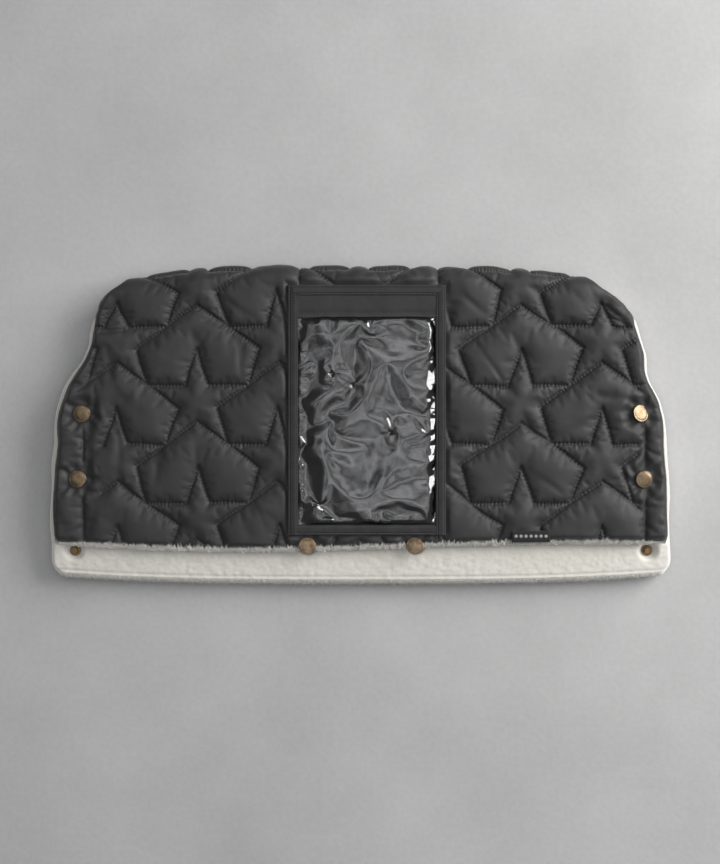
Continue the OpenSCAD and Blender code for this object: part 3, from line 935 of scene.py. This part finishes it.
def fringe():
    """Fleece hairs that stand out from under the front's hem and lie over its dark edge."""
    rng = np.random.default_rng(62)
    hairs = []
    for x in np.arange(-FRONT_HIGH.x + 18 * MM, FRONT_HIGH.x - 16 * MM, 0.9 * MM):
        full = 0.5 + 0.5 * noise(x, 0.0, 7 * MM, 63)
        ends = smooth((SNAP_LINE[0] - abs(x)) / (25 * MM))
        sway = 0.4 * noise(x, 0.1, 6 * MM, 64)
        for _ in range(5):
            px = x + rng.uniform(-0.7, 0.7) * MM
            root = (px, front_hem(px) - rng.uniform(0.6, 1.9) * MM, FRONT_Z - rng.uniform(5.5, 7.5) * MM)
            lean = (sway + rng.uniform(-0.5, 0.5), rng.uniform(-0.6, 0.0), 1.0)
            curl = (rng.uniform(-0.8, 0.8), rng.uniform(1.1, 1.9), 0.0)
            long = (8.0 + 3.8 * full * ends + rng.uniform(-1.2, 1.4)) * MM
            hairs.append((root, lean, long, rng.uniform(0.4, 0.65) * MM, curl))
    return strands_piece("front_boa_fringe", hairs)


def fleece():
    """Both panels' fleece, with its loose hairs."""
    back, front = lining_piece("back_boa", True), lining_piece("front_boa", False)
    loose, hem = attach(tufts(), "back"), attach(fringe(), "front")
    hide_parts("back_boa_lining", "fold_boa_lining")
    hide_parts("front_boa_lining")


# ---- the phone pocket


POCKET_BASE = FRONT_Z + 2.2 * MM
BINDING_W = 8.6 * MM
BINDING_T = 2.5 * MM        # thickness of the side strips
BAND_T = 1.9 * MM
HEM_T = 2.9 * MM
POCKET_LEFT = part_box("pocket_binding_left")[0].x
POCKET_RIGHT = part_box("pocket_binding_right")[1].x
POCKET_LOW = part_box("pocket_binding_bottom")[0].y


def pocket_base(x, y):
    """Height of the pocket's sewn edges, which follow the panel's rise and fall."""
    return POCKET_BASE + 0.5 * MM * noise(x, y, 30 * MM, 71) + 0.15 * MM * noise(x, y, 9 * MM, 72)


def blurred(table, reach):
    """Table averaged over reach cells each way, three times over."""
    for axis in (0, 1) * 3:
        count = table.shape[axis]
        wide = np.take(table, np.clip(np.arange(-reach - 1, count + reach), 0, count - 1), axis)
        total = np.cumsum(wide, axis)
        ahead = np.take(total, np.arange(2 * reach + 1, 2 * reach + 1 + count), axis)
        table = (ahead - np.take(total, np.arange(count), axis)) / (2 * reach + 1)
    return table


def frame_gap(x, y):
    """Distance of a rectangular grid's points from its edges."""
    return np.minimum(np.minimum(x - x[0, 0], x[0, -1] - x), np.minimum(y - y[0, 0], y[-1, 0] - y))


def film_cloth():
    """The film's grid and how its crumples move it: a stiff sheet, too large, that clings in places."""
    cell = 1.6 * MM
    x, y = np.meshgrid(np.arange(POCKET_LEFT + BINDING_W - 1 * MM, POCKET_RIGHT - BINDING_W + 2 * MM, cell),
                       np.arange(POCKET_LOW + BINDING_W - 1 * MM, BAND_LOW.y + 5 * MM, cell))
    edge = frame_gap(x, y)
    bulge = 3 * MM * noise(x, y, 28 * MM, 91) * smooth(edge / (10 * MM))
    bulge = bulge + 1.5 * MM * smooth(edge / (25 * MM))
    held = edge < 0.5 * cell
    rng = np.random.default_rng(97)
    for _ in range(5):
        px = rng.uniform(x[0, 0] + 12 * MM, x[0, -1] - 8 * MM)
        py = rng.uniform(y[0, 0] + 10 * MM, y[-1, 0] - 10 * MM)
        held |= np.hypot(x - px, y - py) < 1.8 * MM
    points = np.stack([x, y, np.where(held, 0, bulge)], axis=-1)
    points = simulated(points, held, frames=30, pressure=0, growth=0.05, stiffness=40, bending=10)
    moved = points - np.stack([x, y, 0 * x], axis=-1)
    moved[..., 2] -= 0.85 * blurred(moved[..., 2], 5)
    return x, y, moved


def film_piece():
    """The crumpled clear window."""
    x, y, moved = film_cloth()
    fine = 2
    rows = np.linspace(0, x.shape[0] - 1, fine * (x.shape[0] - 1) + 1)
    columns = np.linspace(0, x.shape[1] - 1, fine * (x.shape[1] - 1) + 1)
    column, row = np.meshgrid(np.clip(columns, 1, x.shape[1] - 2.01), np.clip(rows, 1, x.shape[0] - 2.01))
    moved = sampled(moved, row, column)
    x, y = np.meshgrid(np.interp(columns, np.arange(x.shape[1]), x[0]),
                       np.interp(rows, np.arange(x.shape[0]), y[:, 0]))
    edge = frame_gap(x, y)
    free = smooth(edge / (4 * MM))
    lift = 0.6 * moved[..., 2]
    ramp = 3.6 * MM * smooth((x[0, -1] - x) / (10 * MM)) * smooth((x - x[0, 0]) / (26 * MM))
    z = pocket_base(x, y) + 0.5 * MM + free * (lift + 1.0 * MM) + ramp * smooth(edge / (6 * MM))
    points = np.stack([x + free * moved[..., 0], y + free * moved[..., 1], z], axis=-1)
    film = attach(grid_piece("pocket_film", points, np.stack([x, y], axis=-1), FILM), "front")
    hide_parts("pocket_window")


def strip(name, start, end, width, thick, material):
    """A sewn strip of cloth from start to end, with rounded edges, that follows the pocket's base."""
    half = [(0.5, -0.6), (0.5, 0.5), (0.485, 0.8), (0.45, 0.97), (0.4, 1.02), (0.34, 0.72), (0.29, 1.02),
            (0.15, 1.06)]
    profile = [(-across, up) for across, up in half] + [(0, 1.07)] + half[::-1]
    share, high = np.array(profile).T
    start, end = np.array(start, float), np.array(end, float)
    length = np.linalg.norm(end - start)
    ahead = (end - start) / length
    t = np.linspace(0, length, round(length / (1.2 * MM)) + 1)[:, None]
    side = width * share[None, :] * (1 + 0.02 * noise(t, 0 * t, 12 * MM, 73))
    x = start[0] + ahead[0] * t + ahead[1] * side
    y = start[1] + ahead[1] * t - ahead[0] * side
    wrinkle = 0.12 * MM * noise(3 * side, t, 3.4 * MM, 74)
    z = pocket_base(x, y) + (high * thick)[None, :] + wrinkle
    uv = np.stack([side, t + 0 * side], axis=-1)
    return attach(grid_piece(name, np.stack([x, y, z], axis=-1), uv, material), "front")


def stitch(middle, ahead):
    """Vertices and faces of one raised stitch: a short rounded thread."""
    sides = 6
    ahead = np.array(ahead, float) / np.linalg.norm(ahead)
    across = np.cross((0, 0, 1), ahead)
    up = np.cross(ahead, across)
    vertices = []
    for t, r in ((-0.5, 0.35), (-0.32, 0.85), (0, 1.0), (0.32, 0.85), (0.5, 0.35)):
        for n in range(sides):
            turn = 2 * math.pi * n / sides
            sink = -0.6 * STITCH_R * (2 * t) ** 4
            vertices.append(middle + ahead * t * STITCH_LONG
                            + r * STITCH_R * (math.cos(turn) * across + math.sin(turn) * up) + up * sink)
    ends = [tuple(range(sides))[::-1], tuple(range(4 * sides, 5 * sides))]
    return vertices, tube_faces(5, sides) + ends


def sewn_row(start, end, height):
    """The stitches from start to end, height over the pocket's base."""
    start, end = np.array(start, float), np.array(end, float)
    count = round(np.linalg.norm(end - start) / STITCH_PITCH)
    shares = (np.arange(count) + 0.5) / count
    flat = start + (end - start) * shares[:, None]
    places = np.column_stack([flat, pocket_base(flat[:, 0], flat[:, 1]) + height])
    return [stitch(place, tuple(end - start) + (0,)) for place in places]


def pocket():
    """The film, the mouth's band with its turned hem, and three ribbed bindings, all stitched on."""
    film_piece()
    left, right = POCKET_LEFT + BINDING_W / 2, POCKET_RIGHT - BINDING_W / 2
    low, top = POCKET_LOW + BINDING_W / 2, BAND_HIGH.y + 0.5 * MM
    band_y = (BAND_LOW.y + BAND_HIGH.y) / 2
    band = strip("pocket_band", (left, band_y), (right, band_y), BAND_HIGH.y - BAND_LOW.y, BAND_T, BAND)
    hem_y = (HEM_LOW.y + HEM_HIGH.y) / 2
    hem_width = HEM_HIGH.y - HEM_LOW.y
    hem = strip("pocket_band_turned_hem", (left, hem_y), (right, hem_y), hem_width, HEM_T, BAND)
    strips = {"left": ((left, POCKET_LOW), (left, top)), "right": ((right, POCKET_LOW), (right, top)),
              "bottom": ((left - 3 * MM, low), (right + 3 * MM, low))}
    rows = []
    for side, (start, end) in strips.items():
        thick = BINDING_T - (0.2 * MM if side == "bottom" else 0)
        binding = strip("pocket_binding_tape_" + side, start, end, BINDING_W, thick, TAPE)
        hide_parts("pocket_binding_" + side)
        ahead = np.array(end) - np.array(start)
        across = np.array([ahead[1], -ahead[0]]) / np.linalg.norm(ahead) * 0.34 * BINDING_W
        for turn in (-1, 1):
            rows.append((np.array(start) + turn * across, np.array(end) + turn * across, 0.93 * thick))
    inner_left, inner_right = left + BINDING_W / 2, right - BINDING_W / 2
    for y, height in ((HEM_LOW.y + 1.4 * MM, HEM_T), (BAND_LOW.y + 2.0 * MM, BAND_T + 0.05 * MM)):
        rows.append(((inner_left, y), (inner_right, y), height))
    seam = many("pocket_stitches", [made for row in rows for made in sewn_row(*row)], THREAD)
    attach(seam, "front")
    for piece, node in ((band, "pocket_top_band"), (hem, "pocket_band_hem")):
        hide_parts(node)


# ---- hardware and label


def lathe(name, profile, material, turns=48):
    """A turned piece about Z at the origin, from a profile of (radius, height) that starts on the axis."""
    vertices, faces = [(0, 0, profile[0][1])], []
    for radius, height in profile[1:]:
        for n in range(turns):
            turn = 2 * math.pi * n / turns
            vertices.append((radius * math.cos(turn), radius * math.sin(turn), height))
    for n in range(turns):
        faces.append((0, 1 + n, 1 + (n + 1) % turns))
    for ring in range(len(profile) - 2):
        for n in range(turns):
            a, b = 1 + ring * turns + n, 1 + ring * turns + (n + 1) % turns
            faces.append((a, a + turns, b + turns, b))
    last = 1 + (len(profile) - 2) * turns
    faces.append(tuple(last + n for n in range(turns)))
    return mesh_piece(name, vertices, faces, material)


TILTS = {"upper_left": (4, -3), "upper_right": (-10, 21), "lower_left": (-3, -4), "lower_right": (2, 5),
         "centre_left": (-9, 3), "centre_right": (-10, -4)}


def caps():
    """Six domed caps: a rolled rim, a fine step and a low crown, each tilted as its cloth pulls it."""
    for name in SNAPS:
        low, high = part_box("snap_cap_" + name)
        radius = (high.x - low.x) / 2
        base = FRONT_Z - 0.5 * MM
        profile = [(0, 1.0), (0.15, 0.998), (0.35, 0.98), (0.55, 0.94), (0.72, 0.87), (0.84, 0.79),
                   (0.885, 0.76), (0.905, 0.77), (0.93, 0.79), (0.96, 0.77), (0.985, 0.70), (1.0, 0.58),
                   (0.995, 0.44), (0.97, 0.33), (0.92, 0.25), (0.80, 0.22)]
        crown = high.z - base
        cap = lathe("cap_" + name, [(radius * r, crown * h) for r, h in profile], CAP)
        middle = Vector(((low.x + high.x) / 2, (low.y + high.y) / 2, base))
        tilt = Euler([math.radians(a) for a in TILTS[name]] + [0]).to_matrix().to_4x4()
        cap.data.transform(Matrix.Translation(middle + Vector((0, 0, 0.3 * MM))) @ tilt)
        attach(cap, "front")
        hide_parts("snap_cap_" + name)


def diamond(middle_x, middle_y):
    """Vertices and faces of a small woven diamond, open in its middle."""
    half, vertices = 1.5 * MM, []
    for dx, dy in ((0, -half), (half, 0), (0, half), (-half, 0)):
        for scale in (1.0, 0.45):
            x, y = middle_x + dx * scale, middle_y + dy * scale
            rise = 0.35 * MM * noise(x, y, 12 * MM, 76)
            vertices.append((x, y, FRONT_Z + 4.55 * MM + rise))
    ring = [(2 * n, 2 * ((n + 1) % 4)) for n in range(4)]
    return vertices, [(a, b, b + 1, a + 1) for a, b in ring]


def label():
    """A black woven label over the hem, with a plain row of small diamonds."""
    low, high = LABEL_LOW, LABEL_HIGH
    x, y = np.meshgrid(np.linspace(low.x, high.x, 34), np.linspace(low.y, high.y, 12))
    z = FRONT_Z + 4.4 * MM + 0.35 * MM * noise(x, y, 12 * MM, 76)
    down = np.clip((low.y + 3 * MM - y) / (3 * MM), 0, 1)
    points = np.stack([x, y, z - 1.2 * MM * down ** 2], axis=-1)
    piece = grid_piece("label", points, np.stack([x, y], axis=-1), LABEL)
    piece.modifiers.new("thickness", "SOLIDIFY").thickness = 0.6 * MM
    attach(piece, "front")
    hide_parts("woven_label")
    middle, pitch = (low.x + high.x) / 2, 4.3 * MM
    centre_y = low.y + 0.55 * (high.y - low.y)
    motif = many("label_motif", [diamond(middle + n * pitch, centre_y) for n in range(-3, 4)], MOTIF)
    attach(motif, "front")


def kept_cad_nodes():
    """Gives every CAD node that stays its own finish."""
    looks = {"snap_stud": STUD, "snap_post": STUD, "snap_socket": STUD, "snap_spring": WIRE,
             "back_tape": INNER_TAPE, "front_tape": INNER_TAPE}
    for name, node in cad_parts.items():
        for start, material in looks.items():
            if name.startswith(start):
                node.data.materials.clear()
                node.data.materials.append(material)


# ---- floor, light and camera


def area_light(name, place, target, size, power, colour):
    """A soft rectangular lamp that looks at target."""
    lamp = bpy.data.lights.new(name, "AREA")
    lamp.shape = "RECTANGLE"
    lamp.size, lamp.size_y = size
    lamp.energy = power
    lamp.color = colour
    holder = bpy.data.objects.new(name, lamp)
    holder.location = place
    holder.rotation_euler = (Vector(target) - Vector(place)).to_track_quat("-Z", "Y").to_euler()
    bpy.context.scene.collection.objects.link(holder)


def studio():
    """A pale floor, a large soft light from the right and a grey room that is brighter overhead."""
    size = 6.0
    floor = mesh_piece("floor", [(-size, -size, 0), (size, -size, 0), (size, size, 0), (-size, size, 0)],
                       [(0, 1, 2, 3)], floor_material())
    area_light("window", (1.4, 0.65, 0.9), (0, 0, 0), (1.3, 1.1), 37, (1.0, 0.995, 0.985))
    world = bpy.data.worlds.new("room")
    world.use_nodes = True
    tree = world.node_tree
    way = add(tree, "TexCoord").outputs["Generated"]
    overhead = add(tree, "VectorMath", {"operation": "DOT_PRODUCT"}, in0=way, in1=(0.10, 0.10, 0.99))
    glow = add(tree, "MapRange", {"interpolation_type": "SMOOTHSTEP"}, Value=overhead.outputs["Value"],
               From_Min=0.65, From_Max=1.0, To_Min=0.0, To_Max=1.05).outputs[0]
    uneven = ranged(tree, lumps(tree, way, 0.20, 2), 0.3, 0.7, 0.1, 1.9)
    background = tree.nodes["Background"]
    background.inputs["Color"].default_value = (0.97, 0.98, 1.0, 1)
    strength = maths(tree, "ADD", maths(tree, "MULTIPLY", glow, uneven), 0.13)
    tree.links.new(strength, background.inputs["Strength"])
    bpy.context.scene.world = world
    bpy.context.scene.view_settings.view_transform = "Standard"


def camera():
    """Straight above, with the muff's long side across the picture."""
    lens = bpy.data.cameras.new("camera")
    lens.lens = 50
    lens.sensor_width = 36
    holder = bpy.data.objects.new("camera", lens)
    holder.location = (-0.9 * MM, -7.3 * MM, FRONT_HIGH.z + 1.0344)
    bpy.context.scene.collection.objects.link(holder)
    bpy.context.scene.camera = holder


# ---- the whole muff

camera()
studio()
quilted_panels()
fleece()
pocket()
caps()
label()
kept_cad_nodes()
